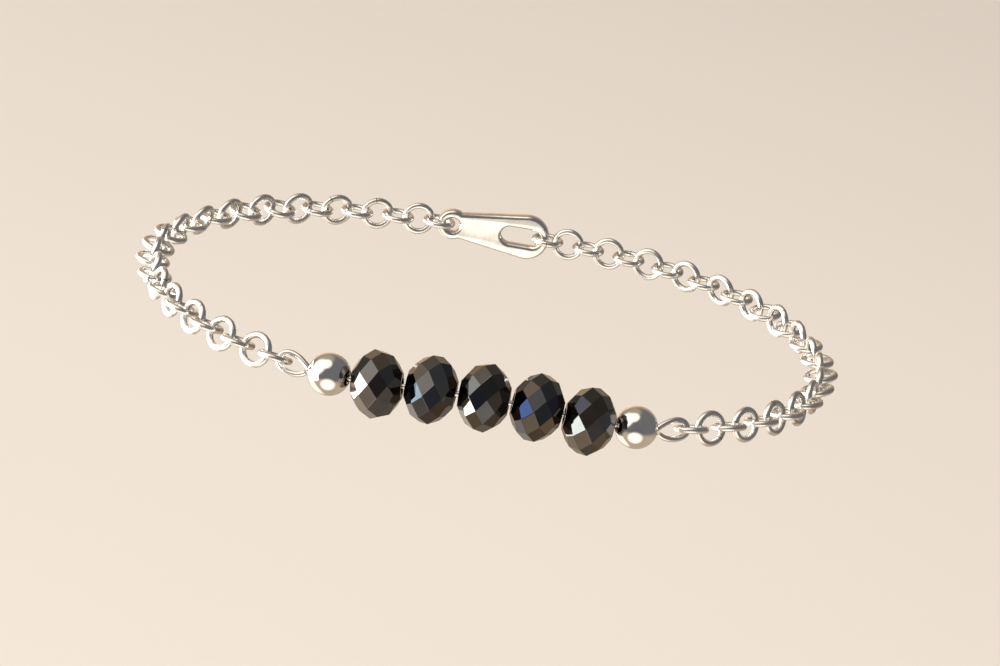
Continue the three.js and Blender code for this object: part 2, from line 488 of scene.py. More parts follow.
def new_group(
    name: str, kind: str, takes: dict[Goes, Sequence[str]], gives: dict[Goes, Sequence[str]]
) -> tuple[NodeBench, NodeOutputs, NodeInputs]:
    """Starts a node group with named inputs and outputs.

    Args:
        name: The group's name.
        kind: Its tree type.
        takes: The names of its inputs, by what goes in.
        gives: The names of its outputs, by what goes out.

    Returns:
        The bench, the sockets that bring the group's inputs, and those that its outputs leave by.
    """
    tree = bpy.data.node_groups.new(name, kind)
    for way, sockets in (("INPUT", takes), ("OUTPUT", gives)):
        for goes, labels in sockets.items():
            for label in labels:
                tree.interface.new_socket(name=label, in_out=way, socket_type=goes.value)
    bench = NodeBench(tree)
    return bench, bench.add("NodeGroupInput").outputs, bench.add("NodeGroupOutput").inputs


def new_finish(name: str) -> tuple[Material, NodeBench, Node]:
    """Starts a material.

    Args:
        name: The material's name.

    Returns:
        The material, its bench and its shader.
    """
    material = bpy.data.materials.new(name)
    material.use_nodes = True
    bench = NodeBench(material.node_tree)
    return material, bench, bench.tree.nodes["Principled BSDF"]


# ---- Wear, shared by the finishes ----


@dataclass(frozen=True)
class HairScratches:
    """Hair-fine rubbing marks that run two ways over a polished surface, in patches."""

    ways: tuple[tuple[Triple, float], ...] = (((0.5, 0.3, 0.9), 0.06), ((0.2, 1.1, -0.6), 0.09))
    hair_width: float = 0.016
    patch_fineness: float = 420.0
    patch_edge: Pair = (0.42, 0.62)

    @cache
    def tree(self) -> NodeTree:
        """Builds the group once.

        Returns:
            The group: its Mask is 1 on a mark, and its Height dips there.
        """
        bench, given, out = new_group(
            "hair_scratches",
            "ShaderNodeTree",
            {Goes.NUMBER: ("Fineness", "Amount")},
            {Goes.NUMBER: ("Mask", "Height")},
        )
        place = bench.add("ShaderNodeTexCoord").outputs["Object"]
        marks = []
        for turn, stretch in self.ways:
            turned = bench.add(
                "ShaderNodeMapping", Vector=place, Rotation=turn, Scale=(1.0, stretch, 1.0)
            ).outputs[0]
            hair = bench.cloud(turned, given["Fineness"], Detail=2.0, Roughness=0.6)
            centred = bench.math("ABSOLUTE", bench.math("SUBTRACT", hair, 0.5))
            marks.append(bench.ramp(centred, (0.0, self.hair_width), (1.0, 0.0)))
        patches = bench.ramp(bench.cloud(place, self.patch_fineness, Detail=1.0), self.patch_edge)
        rubbed = bench.math("MULTIPLY", bench.math("MAXIMUM", *marks), patches)
        mask = bench.math("MULTIPLY", rubbed, given["Amount"])
        bench.feed(out["Mask"], mask)
        bench.feed(out["Height"], bench.math("SUBTRACT", 1.0, mask))
        return bench.tree


@dataclass(frozen=True)
class SkinHaze:
    """The faint uneven dulling that handling leaves on a polished surface."""

    dull_edge: Pair = (0.38, 0.72)

    @cache
    def tree(self) -> NodeTree:
        """Builds the group once.

        Returns:
            The group: its Mask is how dull the surface is at each place.
        """
        bench, given, out = new_group(
            "skin_haze",
            "ShaderNodeTree",
            {Goes.NUMBER: ("Fineness", "Amount")},
            {Goes.NUMBER: ("Mask",)},
        )
        place = bench.add("ShaderNodeTexCoord").outputs["Object"]
        cloud = bench.cloud(place, given["Fineness"], Detail=5.0, Roughness=0.62, Distortion=0.4)
        dull = bench.ramp(cloud, self.dull_edge, ease=Ease.SOFT)
        bench.feed(out["Mask"], bench.math("MULTIPLY", dull, given["Amount"]))
        return bench.tree


# ---- Finishes ----


@dataclass(frozen=True)
class HandledMirror(ABC):
    """A metal mirror that handling has scratched and dulled, as the coat and the silver are."""

    name: str
    polish: float
    haze: float
    haze_fineness: float
    haze_roughness: float
    scratches: float
    scratch_fineness: float
    scratch_roughness: float
    scratch_relief: float

    @abstractmethod
    def colours(self, bench: NodeBench) -> tuple[object, object]:
        """Gives the colour where the mirror is clean and where it is dulled."""

    def with_marks(self, bench: NodeBench, colour: object, height: object) -> tuple[object, object]:
        """Adds marks of the finish's own to its colour and height. Here there are none."""
        return colour, height

    @cache
    def material(self) -> Material:
        """Builds the finish once.

        Returns:
            The material.
        """
        material, bench, shader = new_finish(self.name)
        scratches = bench.add(
            "ShaderNodeGroup",
            {"node_tree": HairScratches().tree()},
            Fineness=self.scratch_fineness,
            Amount=self.scratches,
        ).outputs
        haze = bench.add(
            "ShaderNodeGroup",
            {"node_tree": SkinHaze().tree()},
            Fineness=self.haze_fineness,
            Amount=self.haze,
        ).outputs["Mask"]
        colour = bench.mix(haze, *self.colours(bench))
        colour, height = self.with_marks(bench, colour, scratches["Height"])
        rough = bench.math("MULTIPLY_ADD", scratches["Mask"], self.scratch_roughness, self.polish)
        rough = bench.math("MULTIPLY_ADD", haze, self.haze_roughness, rough)
        depth = SCRATCH_DEPTH * MM
        relief = bench.add(
            "ShaderNodeBump", Strength=self.scratch_relief, Distance=depth, Height=height
        )
        bench.feed(shader.inputs["Base Color"], colour)
        bench.feed(shader.inputs["Metallic"], 1.0)
        bench.feed(shader.inputs["Roughness"], rough)
        bench.feed(shader.inputs["Normal"], relief.outputs["Normal"])
        return material


@dataclass(frozen=True)
class DarkMirrorGlass(HandledMirror):
    """Black glass under a dark metal coat: a dim mirror whose tint changes from facet to facet."""

    name: str = "dark_mirror_glass"
    polish: float = 0.03
    haze: float = 0.6
    haze_fineness: float = 900.0
    haze_roughness: float = 0.03
    scratches: float = 0.25
    scratch_fineness: float = 1500.0
    scratch_roughness: float = 0.12
    scratch_relief: float = 0.08
    coat: Colour = (0.15, 0.1455, 0.1425)
    dulling: Colour = (0.86, 0.84, 0.84)

    def colours(self, bench: NodeBench) -> tuple[object, object]:
        """Tints the coat by facet; each bead's flashing facet takes a painted reflection tint.

        Args:
            bench: The material's nodes.

        Returns:
            The coat's colour where it is clean and where it is dulled.
        """
        # The attribute holds each facet's coat tint, and on each bead's flashing facet a painted
        # reflection tint.
        tint = bench.add("ShaderNodeAttribute", {"attribute_name": "coat"}).outputs["Color"]
        clean = bench.mix(1.0, tint, self.coat, "MULTIPLY")
        return clean, bench.mix(1.0, clean, self.dulling, "MULTIPLY")


@dataclass(frozen=True)
class PolishedSilver(HandledMirror):
    """Polished silver."""

    haze: float = 0.5
    haze_fineness: float = 800.0
    haze_roughness: float = 0.14
    scratches: float = 0.5
    scratch_fineness: float = 2600.0
    scratch_roughness: float = 0.16
    scratch_relief: float = 0.12
    clean: Colour = (0.93, 0.905, 0.87)
    dulled: Colour = (0.70, 0.655, 0.60)

    def colours(self, bench: NodeBench) -> tuple[object, object]:
        """Gives the silver's colour where it is clean and where it is dulled."""
        return self.clean, self.dulled


@dataclass(frozen=True)
class LinkSilver(PolishedSilver):
    """Polished silver with the hairline where each link's wire ends meet."""

    seam: Colour = (0.16, 0.14, 0.12)
    seam_edge: Pair = (0.0025, 0.006)
    seam_depth: float = 2.0

    def with_marks(self, bench: NodeBench, colour: object, height: object) -> tuple[object, object]:
        """Adds the seam, half way round each link.

        Args:
            bench: The material's nodes.
            colour: The colour without it.
            height: The height without it.

        Returns:
            The colour and the height with it.
        """
        around = bench.add("ShaderNodeAttribute", {"attribute_name": "around"}).outputs["Fac"]
        away = bench.math("ABSOLUTE", bench.math("SUBTRACT", around, 0.5))
        seam = bench.ramp(away, self.seam_edge, (1.0, 0.0))
        dip = bench.math("MULTIPLY", seam, self.seam_depth)
        return bench.mix(seam, colour, self.seam), bench.math("SUBTRACT", height, dip)


@dataclass(frozen=True)
class PaleFloorPaint:
    """The floor's matt warm white."""

    light: Colour = (0.79, 0.725, 0.66)
    shade: Colour = (0.77, 0.71, 0.65)
    grain_fineness: float = 6.0
    roughness: float = 0.9
    shine: float = 0.1

    def material(self) -> Material:
        """Builds the finish.

        Returns:
            The material.
        """
        material, bench, shader = new_finish("pale_floor")
        place = bench.add("ShaderNodeTexCoord").outputs["Object"]
        grain = bench.cloud(place, self.grain_fineness, Detail=3.0)
        bench.feed(shader.inputs["Base Color"], bench.mix(grain, self.light, self.shade))
        bench.feed(shader.inputs["Roughness"], self.roughness)
        bench.feed(shader.inputs["Specular IOR Level"], self.shine)
        return material


# ---- Faceted beads ----


@dataclass(frozen=True)
class FacetedBead:
    """A faceted bead: a belt, crown and shoulder row of facets and a bored table on each half."""

    number: int
    s: float
    turn: float
    tilt: float
    swing: float
    lift: float
    # The painted reflection tint on the facet that flashes with the window.
    flash: CoatTint
    coat_seed: int
    diameter: float = 6.0
    length: float = 4.36
    sides: int = 8
    belt_at: float = 0.185
    crown_at: float = 0.57
    shoulder_at: float = 0.78
    bore_radius: float = 0.7
    countersink: float = 0.07
    edge_round: float = 0.028
    edge_steps: int = 2
    sharp: float = 6.0
    coat_depth: Pair = (0.45, 1.5)

    def ring_radii(self) -> Triple:
        """Works out the rings at which every facet is flat.

        Returns:
            The crown, shoulder and table radii, as shares of the belt's.
        """
        flat = math.cos(math.pi / self.sides)

        def radius_at(share: float, start: float, end: float) -> float:
            """Carries a flat facet on from two of its rings to a third."""
            return (flat * start - share * end) / (1 - share)

        belt, crown_at, shoulder_at = self.belt_at, self.crown_at, self.shoulder_at
        crown = radius_at((crown_at - belt) / (crown_at + belt), 1.0, 1.0)
        shoulder = radius_at((shoulder_at - crown_at) / (shoulder_at - belt), crown, 1.0)
        slope = (crown - shoulder * flat) / (shoulder_at - crown_at)
        return crown, shoulder, shoulder - slope * (1 - shoulder_at) / flat

    def ring(
        self, form: BMesh, along: float, radius: float, offset: int, count: int = 0
    ) -> list[BMVert]:
        """Adds a ring of corners round the bead's axis.

        Args:
            form: The bead's form.
            along: The ring's place along the axis.
            radius: Its radius.
            offset: Its turn, in half sides.
            count: The number of corners, or 0 for one at each side.

        Returns:
            The ring's corners.
        """
        steps = count or self.sides
        turn = math.pi / self.sides * offset
        angles = [2 * math.pi * i / steps + turn for i in range(steps)]
        return [
            form.verts.new((along, -radius * math.cos(a), radius * math.sin(a))) for a in angles
        ]

    def coat_of(self, kind: FacetKind | None, half: int, i: int) -> tuple[float, ...]:
        """Chooses a facet's coat, and on the facet that flashes with the window a painted
        reflection tint.

        Args:
            kind: The facet's row, or None on the tables and in the bore.
            half: 1 on the bead's right half, -1 on its left.
            i: The facet's place round the bead.

        Returns:
            The coat's tint, and on the flashing facet the painted reflection tint, with full cover.
        """
        # The crown facet that catches the window takes a painted reflection tint in place of the
        # coat's own, which sets the colour and brightness of its flash.
        if kind is FacetKind.CROWN and half == -1 and i == 0:
            return (*self.flash.value, 1.0)
        pick = random.Random(f"{self.coat_seed} {kind} {half} {i}")
        tint = pick.choices(list(COMMON_TINTS), list(COMMON_TINTS.values()))[0]
        depth = pick.uniform(*self.coat_depth)
        return (*[channel * depth for channel in tint.value], 1.0)

    def add_half(
        self,
        form: BMesh,
        half: int,
        belts: dict[int, list[BMVert]],
        coat: BMLayerItem,
    ) -> tuple[list[BMEdge], list[BMVert]]:
        """Adds the facets of one half of the bead, out to the mouth of its bore.

        Args:
            form: The bead's form.
            half: 1 for the right half, -1 for the left.
            belts: Both halves' belt rings, by half.
            coat: The layer that keeps each facet's coat tint, and on the flashing facet its painted
                reflection tint.

        Returns:
            The edges that get rounded, and the bore's inner ring.
        """
        sides, bore_sides = self.sides, 2 * self.sides
        offset = 0 if half == 1 else 1
        reach, out = half * self.length / 2, self.diameter / 2
        crown_radius, shoulder_radius, table_radius = self.ring_radii()
        crown = self.ring(form, reach * self.crown_at, out * crown_radius, 1 - offset)
        shoulder = self.ring(form, reach * self.shoulder_at, out * shoulder_radius, offset)
        table = self.ring(form, reach, out * table_radius, offset)
        mouth = self.ring(form, reach, self.bore_radius + self.countersink, 0, bore_sides)
        bore = self.ring(form, reach - half * self.countersink, self.bore_radius, 0, bore_sides)
        near, far = belts[half], belts[-half]
        edges = []
        for i in range(sides):
            # Corner i of a ring stands at 2i plus the ring's offset, in half sides. So these are
            # the corners half a side from crown[i] on the rings of the other offset, and then the
            # crown's corners half a side from near[i].
            after, before = (i + 1 - offset) % sides, (i - offset) % sides
            crown_after, crown_before = (i + offset) % sides, (i + offset - 1) % sides
            rows = {
                FacetKind.BELT: (far[i], near[after], crown[i], near[before]),
                FacetKind.CROWN: (near[i], crown[crown_after], shoulder[i], crown[crown_before]),
                FacetKind.SHOULDER: (
                    crown[i], shoulder[after], table[after], table[before], shoulder[before]
                ),
            }
            for kind, corners in rows.items():
                facet = form.faces.new(corners)
                facet[coat] = self.coat_of(kind, half, i)
                edges.extend(facet.edges)
            following = table[(i + 1) % sides]
            hole = [mouth[(2 * i + offset + k) % bore_sides] for k in range(3)]
            for corners in (
                (table[i], hole[0], hole[1]),
                (table[i], hole[1], following),
                (following, hole[1], hole[2]),
            ):
                form.faces.new(corners)[coat] = self.coat_of(None, half, 0)
        for face in add_wall(form, mouth, bore):
            face[coat] = self.coat_of(None, half, 1)
        return edges, bore

    def build(self, oval: Oval, finish: DarkMirrorGlass) -> Object:
        """Builds the bead on its seat.

        Args:
            oval: The loop's line.
            finish: The bead's finish.

        Returns:
            The bead's object.
        """
        form = bmesh.new()
        # The coat layer holds each facet's coat tint, and on the flashing facet a painted
        # reflection tint.
        coat = form.faces.layers.float_color.new("coat")
        out, belt_reach = self.diameter / 2, self.belt_at * self.length / 2
        belts = {
            1: self.ring(form, belt_reach, out, 0),
            -1: self.ring(form, -belt_reach, out, 1),
        }
        edges, bores = [], {}
        for half in belts:
            half_edges, bores[half] = self.add_half(form, half, belts, coat)
            edges.extend(half_edges)
        for face in add_wall(form, bores[1], bores[-1]):
            face[coat] = self.coat_of(None, 1, 2)
        bmesh.ops.recalc_face_normals(form, faces=form.faces)
        bmesh.ops.bevel(
            form,
            geom=list(dict.fromkeys(edges)),
            offset=self.edge_round,
            offset_type="OFFSET",
            segments=self.edge_steps,
            profile=0.5,
            affect="EDGES",
            clamp_overlap=True,
        )
        seat = oval.seat(self.s, self.turn, self.tilt, self.swing, self.lift)
        mesh = close_mesh(form, f"faceted_bead_{self.number}", self.sharp, seat)
        return finish_piece(mesh, f"crystal_{self.number}", finish.material())


# ---- Silver balls ----


@dataclass(frozen=True)
class SilverBall:
    """A round silver bead with a softly rounded bore at each end."""

    side: Side
    s: float
    diameter: float = 3.75
    bore_radius: float = 0.5
    rim_round: float = 0.08
    rim_steps: tuple[float, ...] = (0.35, 0.7, 1.0)
    rim_out: float = 0.3
    rim_in: float = 0.9
    around: int = 56
    along: int = 28
    sharp: float = 50.0

    def profile(self) -> list[Pair]:
        """Draws the ball's section.

        Returns:
            Its places along and out from the axis, from the left rim over the outside to the right
            rim, and back along the bore.
        """
        radius, rim = self.diameter / 2, self.rim_round
        mouth = math.asin((self.bore_radius + rim) / radius)
        step = (math.pi - 2 * mouth) / self.along
        angles = [math.pi - mouth - step * i for i in range(self.along + 1)]
        outside = [(radius * math.cos(a), radius * math.sin(a)) for a in angles]
        end = outside[-1][0]
        lip = [
            (
                end + rim * (self.rim_out * (1 - t) - self.rim_in * t),
                self.bore_radius + rim * (1 - t) ** 2,
            )
            for t in self.rim_steps
        ]
        return outside + lip + [(-along, out) for along, out in reversed(lip)]

    def build(self, oval: Oval, finish: PolishedSilver) -> Object:
        """Builds the ball on its seat.

        Args:
            oval: The loop's line.
            finish: The ball's finish.

        Returns:
            The ball's object.
        """
        form = bmesh.new()
        turns = [2 * math.pi * i / self.around for i in range(self.around)]
        rings = [
            [form.verts.new((along, out * math.cos(a), out * math.sin(a))) for a in turns]
            for along, out in self.profile()
        ]
        for ring, following in zip(rings, rings[1:] + rings[:1]):
            add_wall(form, ring, following)
        side = self.side.word
        mesh = close_mesh(form, f"silver_ball_{side}", self.sharp, oval.seat(self.s))
        return finish_piece(mesh, f"silver_bead_{side}", finish.material())


# ---- The wire ----


def drawn_wire(bench: NodeBench, curve: object, radius: object, sides: object) -> NodeSocket:
    """Adds the nodes that draw round wire along a curve.

    Args:
        bench: The geometry nodes.
        curve: The curve.
        radius: The wire's radius.
        sides: The number of sides that it is drawn with.

    Returns:
        The wire.
    """
    section = bench.add("GeometryNodeCurvePrimitiveCircle", Resolution=sides, Radius=radius)
    wire = bench.add("GeometryNodeCurveToMesh", Curve=curve, Profile_Curve=section.outputs["Curve"])
    bench.feed(wire.inputs["Fill Caps"], True)
    return wire.outputs[0]


def finished(bench: NodeBench, shape: object, finish: object) -> NodeSocket:
    """Adds the nodes that end a geometry tree: instances made real, then the finish."""
    whole = bench.add("GeometryNodeRealizeInstances", Geometry=shape).outputs[0]
    return bench.add("GeometryNodeSetMaterial", Geometry=whole, Material=finish).outputs[0]


@cache
def wire_tree() -> NodeTree:
    """Builds the nodes that draw round wire along an open line, once.

    Returns:
        The tree.
    """
    bench, given, out = new_group(
        "wire_along_line",
        "GeometryNodeTree",
        {
            Goes.SHAPE: ("Line",),
            Goes.NUMBER: ("Wire Radius",),
            Goes.COUNT: ("Wire Sides",),
            Goes.FINISH: ("Finish",),
        },
        {Goes.SHAPE: ("Wire",)},
    )
    line = bench.add("GeometryNodeMeshToCurve", Mesh=given["Line"]).outputs[0]
    wire = drawn_wire(bench, line, given["Wire Radius"], given["Wire Sides"])
    bench.feed(out["Wire"], finished(bench, wire, given["Finish"]))
    return bench.tree


@dataclass(frozen=True)
class EyePin:
    """The wire through the beads, with a teardrop eye bent at each of its ends."""

    stem_reach: float
    roll: float
    wire_radius: float = 0.25
    wire_sides: int = 16
    eye_length: float = 3.15
    eye_height: float = 2.2
    end_gap: float = 0.06
    pointiness_out: float = 1.0
    pointiness_back: float = 0.0
    eye_steps: int = 56
    stem_steps: int = 48
    sharp: float = 50.0

    def teardrop(self, angle: float) -> Vector:
        """Draws the eye's outline: half a teardrop out, then half an ellipse back.

        Args:
            angle: The angle round the eye, from 0 to a whole turn.

        Returns:
            The place from the stem's end, along it and upwards.
        """
        length = self.eye_length - self.wire_radius
        half_height = self.eye_height / 2 - self.wire_radius
        pointiness = self.pointiness_out if angle < math.pi else self.pointiness_back
        widest_sine = math.sqrt((1 + pointiness) / (2 + pointiness))
        widest = 2 * widest_sine ** (1 + pointiness) / math.sqrt(2 + pointiness)
        swell = math.sin(angle) * math.sin(angle / 2) ** pointiness / widest
        return Vector((length * (1 - math.cos(angle)) / 2, 0, half_height * swell))

    def eye_end(self) -> float:
        """Finds how far round the eye the wire can come back and still clear itself.

        Returns:
            The last angle.
        """
        apart = 2 * self.wire_radius + self.end_gap
        angle = 2 * math.pi
        while self.teardrop(2 * math.pi - angle).z - self.teardrop(angle).z < apart:
            angle -= math.radians(1)
        return angle

    def eye(self, oval: Oval, side: Side) -> list[Vector]:
        """Draws one eye.

        Args:
            oval: The loop's line.
            side: The eye's side.

        Returns:
            Its points, from the stem round to the wire's end.
        """
        seat = oval.seat(side.value * self.stem_reach, roll=self.roll)
        if side is Side.LEFT:
            seat = seat @ Matrix.Rotation(math.pi, 4, "Z")
        step = self.eye_end() / self.eye_steps
        return [seat @ self.teardrop(step * i) for i in range(1, self.eye_steps + 1)]

    def build(self, oval: Oval, finish: PolishedSilver) -> Object:
        """Builds the wire along its whole line.

        Args:
            oval: The loop's line.
            finish: The wire's finish.

        Returns:
            The wire's object.
        """
        shares = [2 * i / self.stem_steps - 1 for i in range(self.stem_steps + 1)]
        stem = [oval.at(self.stem_reach * share).point for share in shares]
        points = self.eye(oval, Side.LEFT)[::-1] + stem + self.eye(oval, Side.RIGHT)
        values = {
            "Wire Radius": self.wire_radius * MM,
            "Wire Sides": self.wire_sides,
            "Finish": finish.material(),
        }
        mesh = grown_mesh("bead_wire", points, wire_tree(), values, self.sharp)
        return finish_piece(mesh, "eye_pin", finish.material())


# ---- The chains ----


@cache
def chain_tree() -> NodeTree:
    """Builds the nodes that thread round links on a line, each a quarter turn from the last, once.

    Returns:
        The tree. Its line goes from the eye to the clasp, and its Side is 1 for the right chain.
    """
    bench, given, out = new_group(
        "chain_on_line",
        "GeometryNodeTree",
        {
            Goes.SHAPE: ("Line",),
            Goes.COUNT: ("Links", "Link Steps", "Wire Sides", "Seam Seed"),
            Goes.NUMBER: (
                "Link Radius", "Wire Radius", "Roll At Eye", "Wobble", "Wobble Step", "Side"
            ),
            Goes.FINISH: ("Finish",),
        },
        {Goes.SHAPE: ("Chain",)},
    )

    # Where each link sits, and how far it has come towards the clasp.
    index = bench.add("GeometryNodeInputIndex").outputs[0]
    to_clasp = bench.math("DIVIDE", index, bench.math("SUBTRACT", given["Links"], 1.0))
    line = bench.add("GeometryNodeMeshToCurve", Mesh=given["Line"]).outputs[0]
    sample = bench.add("GeometryNodeSampleCurve", {"mode": "FACTOR", "use_all_curves": True})
    bench.feed(sample.inputs["Curves"], line)
    bench.feed(sample.inputs["Factor"], to_clasp)
    seats = bench.add(
        "GeometryNodePoints", Count=given["Links"], Position=sample.outputs["Position"]
    ).outputs[0]

    # The roll: less towards the clasp, a quarter turn on every other link, and a small wobble.
    easing = bench.math("MULTIPLY", given["Roll At Eye"], bench.math("SUBTRACT", 1.0, to_clasp))
    quarter = bench.math("MULTIPLY", bench.math("MODULO", index, 2.0), QUARTER_TURN)
    beat_angle = bench.math("RADIANS", bench.math("MULTIPLY", given["Wobble Step"], index))
    wobble = bench.math("MULTIPLY", given["Wobble"], bench.math("SINE", beat_angle))
    swell = bench.math("SINE", bench.math("MULTIPLY", to_clasp, math.pi))
    wobble = bench.math("MULTIPLY", wobble, bench.math("MULTIPLY", swell, given["Side"]))
    roll = bench.math("ADD", bench.math("ADD", easing, quarter), wobble)

    # Each link's own +X follows the line to the right, rolled about it, with its seam anywhere.
    forward = bench.add("ShaderNodeVectorMath", {"operation": "SCALE"}, Scale=given["Side"])
    bench.feed(forward.inputs[0], sample.outputs["Tangent"])
    turned = bench.work_out(
        "FunctionNodeAxesToRotation",
        {"primary_axis": "X", "secondary_axis": "Z"},
        forward.outputs[0],
        (0.0, 0.0, 1.0),
    )
    seam = bench.add("FunctionNodeRandomValue", {"data_type": "FLOAT"}, ID=index)
    bench.feed(seam.inputs["Seed"], given["Seam Seed"])
    for place, value in zip(RANDOM_NUMBER_INPUTS, (0.0, 2 * math.pi)):
        bench.feed(seam.inputs[place], value)
    for axis, angle in (
        ((1.0, 0.0, 0.0), bench.math("RADIANS", roll)),
        ((0.0, 0.0, 1.0), seam.outputs[RANDOM_NUMBER_OUTPUT]),
    ):
        by = bench.add("FunctionNodeAxisAngleToRotation", Axis=axis, Angle=angle).outputs[0]
        local = {"rotation_space": "LOCAL"}
        turned = bench.work_out("FunctionNodeRotateRotation", local, turned, by)

    # One link, with its place round the ring kept for the seam.
    ring = bench.add(
        "GeometryNodeCurvePrimitiveCircle",
        Resolution=given["Link Steps"],
        Radius=given["Link Radius"],
    )
    around = bench.add(
        "GeometryNodeStoreNamedAttribute",
        {"data_type": "FLOAT", "domain": "POINT"},
        Geometry=ring.outputs["Curve"],
        Name="around",
        Value=bench.add("GeometryNodeSplineParameter").outputs["Factor"],
    ).outputs[0]
    link = drawn_wire(bench, around, given["Wire Radius"], given["Wire Sides"])
    threaded = bench.add(
        "GeometryNodeInstanceOnPoints", Points=seats, Instance=link, Rotation=turned
    ).outputs[0]
    bench.feed(out["Chain"], finished(bench, threaded, given["Finish"]))
    return bench.tree


@dataclass(frozen=True)
class Chain:
    """One chain of closed round links, from the wire's eye to the clasp."""

    side: Side
    first_place: float
    pitch: float
    roll: float
    seam_seed: int
    links: int = 33
    link_radius: float = 1.31
    link_steps: int = 32
    wire_radius: float = 0.29
    wire_sides: int = 12
    wobble: float = 7.0
    wobble_step: float = 137.5
    line_steps: int = 320
    sharp: float = 60.0

    def build(self, oval: Oval, finish: LinkSilver) -> Object:
        """Builds the chain along its stretch of the loop.

        Args:
            oval: The loop's line.
            finish: The chain's finish.

        Returns:
            The chain's object.
        """
        reach = self.pitch * (self.links - 1)
        steps = range(self.line_steps + 1)
        places = [self.first_place + reach * i / self.line_steps for i in steps]
        points = [oval.at(self.side.value * place).point for place in places]
        values = {
            "Links": self.links,
            "Link Radius": self.link_radius * MM,
            "Link Steps": self.link_steps,
            "Wire Radius": self.wire_radius * MM,
            "Wire Sides": self.wire_sides,
            "Roll At Eye": self.roll,
            "Wobble": self.wobble,
            "Wobble Step": self.wobble_step,
            "Side": float(self.side.value),
            "Seam Seed": self.seam_seed,
            "Finish": finish.material(),
        }
        side = self.side.word
        mesh = grown_mesh(f"link_chain_{side}", points, chain_tree(), values, self.sharp)
        return finish_piece(mesh, f"chain_{side}", finish.material())


# ---- The clasp ----


@dataclass(frozen=True)
class Clasp:
    """The plain claw clasp: a soft-edged plate with a round eye and a long hook slot."""

    last_link_place: float
    thickness: float = 1.2
    edge_round: float = 0.34
    edge_steps: int = 4
    bar: float = 0.8
    reach: float = 5.5
    eye_hole_radius: float = 0.68
    body_height: float = 4.4
    slot_length: float = 3.9
    slot_height: float = 1.7
    eye_end_turn: float = 252.0
    claw_end_turn: float = 208.8
    hole_turn: float = 355.0
    arc_step: float = 5.0
    sharp: float = 35.0

    def arc(self, middle: float, radius: float, start: float, turn: float) -> list[Pair]:
        """Gives points round an arc whose middle is on the clasp's length.

        Args:
            middle: The arc's middle along the clasp.
            radius: Its radius.
            start: Its first angle, in degrees.
            turn: How far it goes round, in degrees.

        Returns:
            The points along and across the clasp.
        """
        steps = max(2, round(abs(turn) / self.arc_step))
        angles = [math.radians(start + turn * i / steps) for i in range(steps + 1)]
        return [(middle + radius * math.cos(a), radius * math.sin(a)) for a in angles]

    def outlines(self) -> list[list[Pair]]:
        """Draws the plate's lines, drawn in by the edge's rounding.

        Returns:
            The outline, the eye hole and the hook slot.
        """
        inset = self.edge_round
        eye_radius = self.eye_hole_radius + self.bar
        eye_middle = self.reach - eye_radius
        claw_radius = self.body_height / 2
        claw_start = 180 - self.claw_end_turn / 2
        outside = self.arc(
            eye_middle, eye_radius - inset, -self.eye_end_turn / 2, self.eye_end_turn
        )
        outside += self.arc(
            claw_radius - self.reach, claw_radius - inset, claw_start, self.claw_end_turn
        )
        hole = self.arc(eye_middle, self.eye_hole_radius + inset, 0, self.hole_turn)
        slot_radius = self.slot_height / 2 + inset
        slot_start = self.bar + self.slot_height / 2 - self.reach
        slot_end = slot_start + self.slot_length - self.slot_height
        slot = self.arc(slot_end, slot_radius, 90, -180)
        return [outside, hole, slot + self.arc(slot_start, slot_radius, -90, -180)]

    def seat(self, oval: Oval) -> Matrix:
        """Seats the clasp in the middle between the chains' last links, in line with both.

        Args:
            oval: The loop's line.

        Returns:
            The seat as a matrix.
        """
        right = oval.at(self.last_link_place).point
        left = oval.at(-self.last_link_place).point
        across = left - right
        turn = Matrix.Rotation(math.atan2(across.y, across.x), 4, "Z")
        upright = Matrix.Rotation(math.pi / 2, 4, "X")
        return Matrix.Translation((right + left) / 2) @ turn @ upright

    def build(self, oval: Oval, finish: PolishedSilver) -> Object:
        """Builds the clasp between the chains.

        Args:
            oval: The loop's line.
            finish: The clasp's finish.

        Returns:
            The clasp's object.
        """
        plate = bpy.data.curves.new("clasp_plate", "CURVE")
        plate.dimensions = "2D"
        plate.fill_mode = "BOTH"
        plate.extrude = self.thickness / 2 - self.edge_round
        plate.bevel_depth = self.edge_round
        plate.bevel_resolution = self.edge_steps
        for outline in self.outlines():
            spline = plate.splines.new("POLY")
            spline.points.add(len(outline) - 1)
            spline.use_cyclic_u = True
            for point, (along, across) in zip(spline.points, outline):
                point.co = (along, across, 0.0, 1.0)
        form = merged_form(put_in_scene("clasp_plate", plate), SAME_CORNER)
        mesh = close_mesh(form, "claw_clasp", self.sharp, self.seat(oval))
        return finish_piece(mesh, "clasp", finish.material())


# ---- The bracelet ----


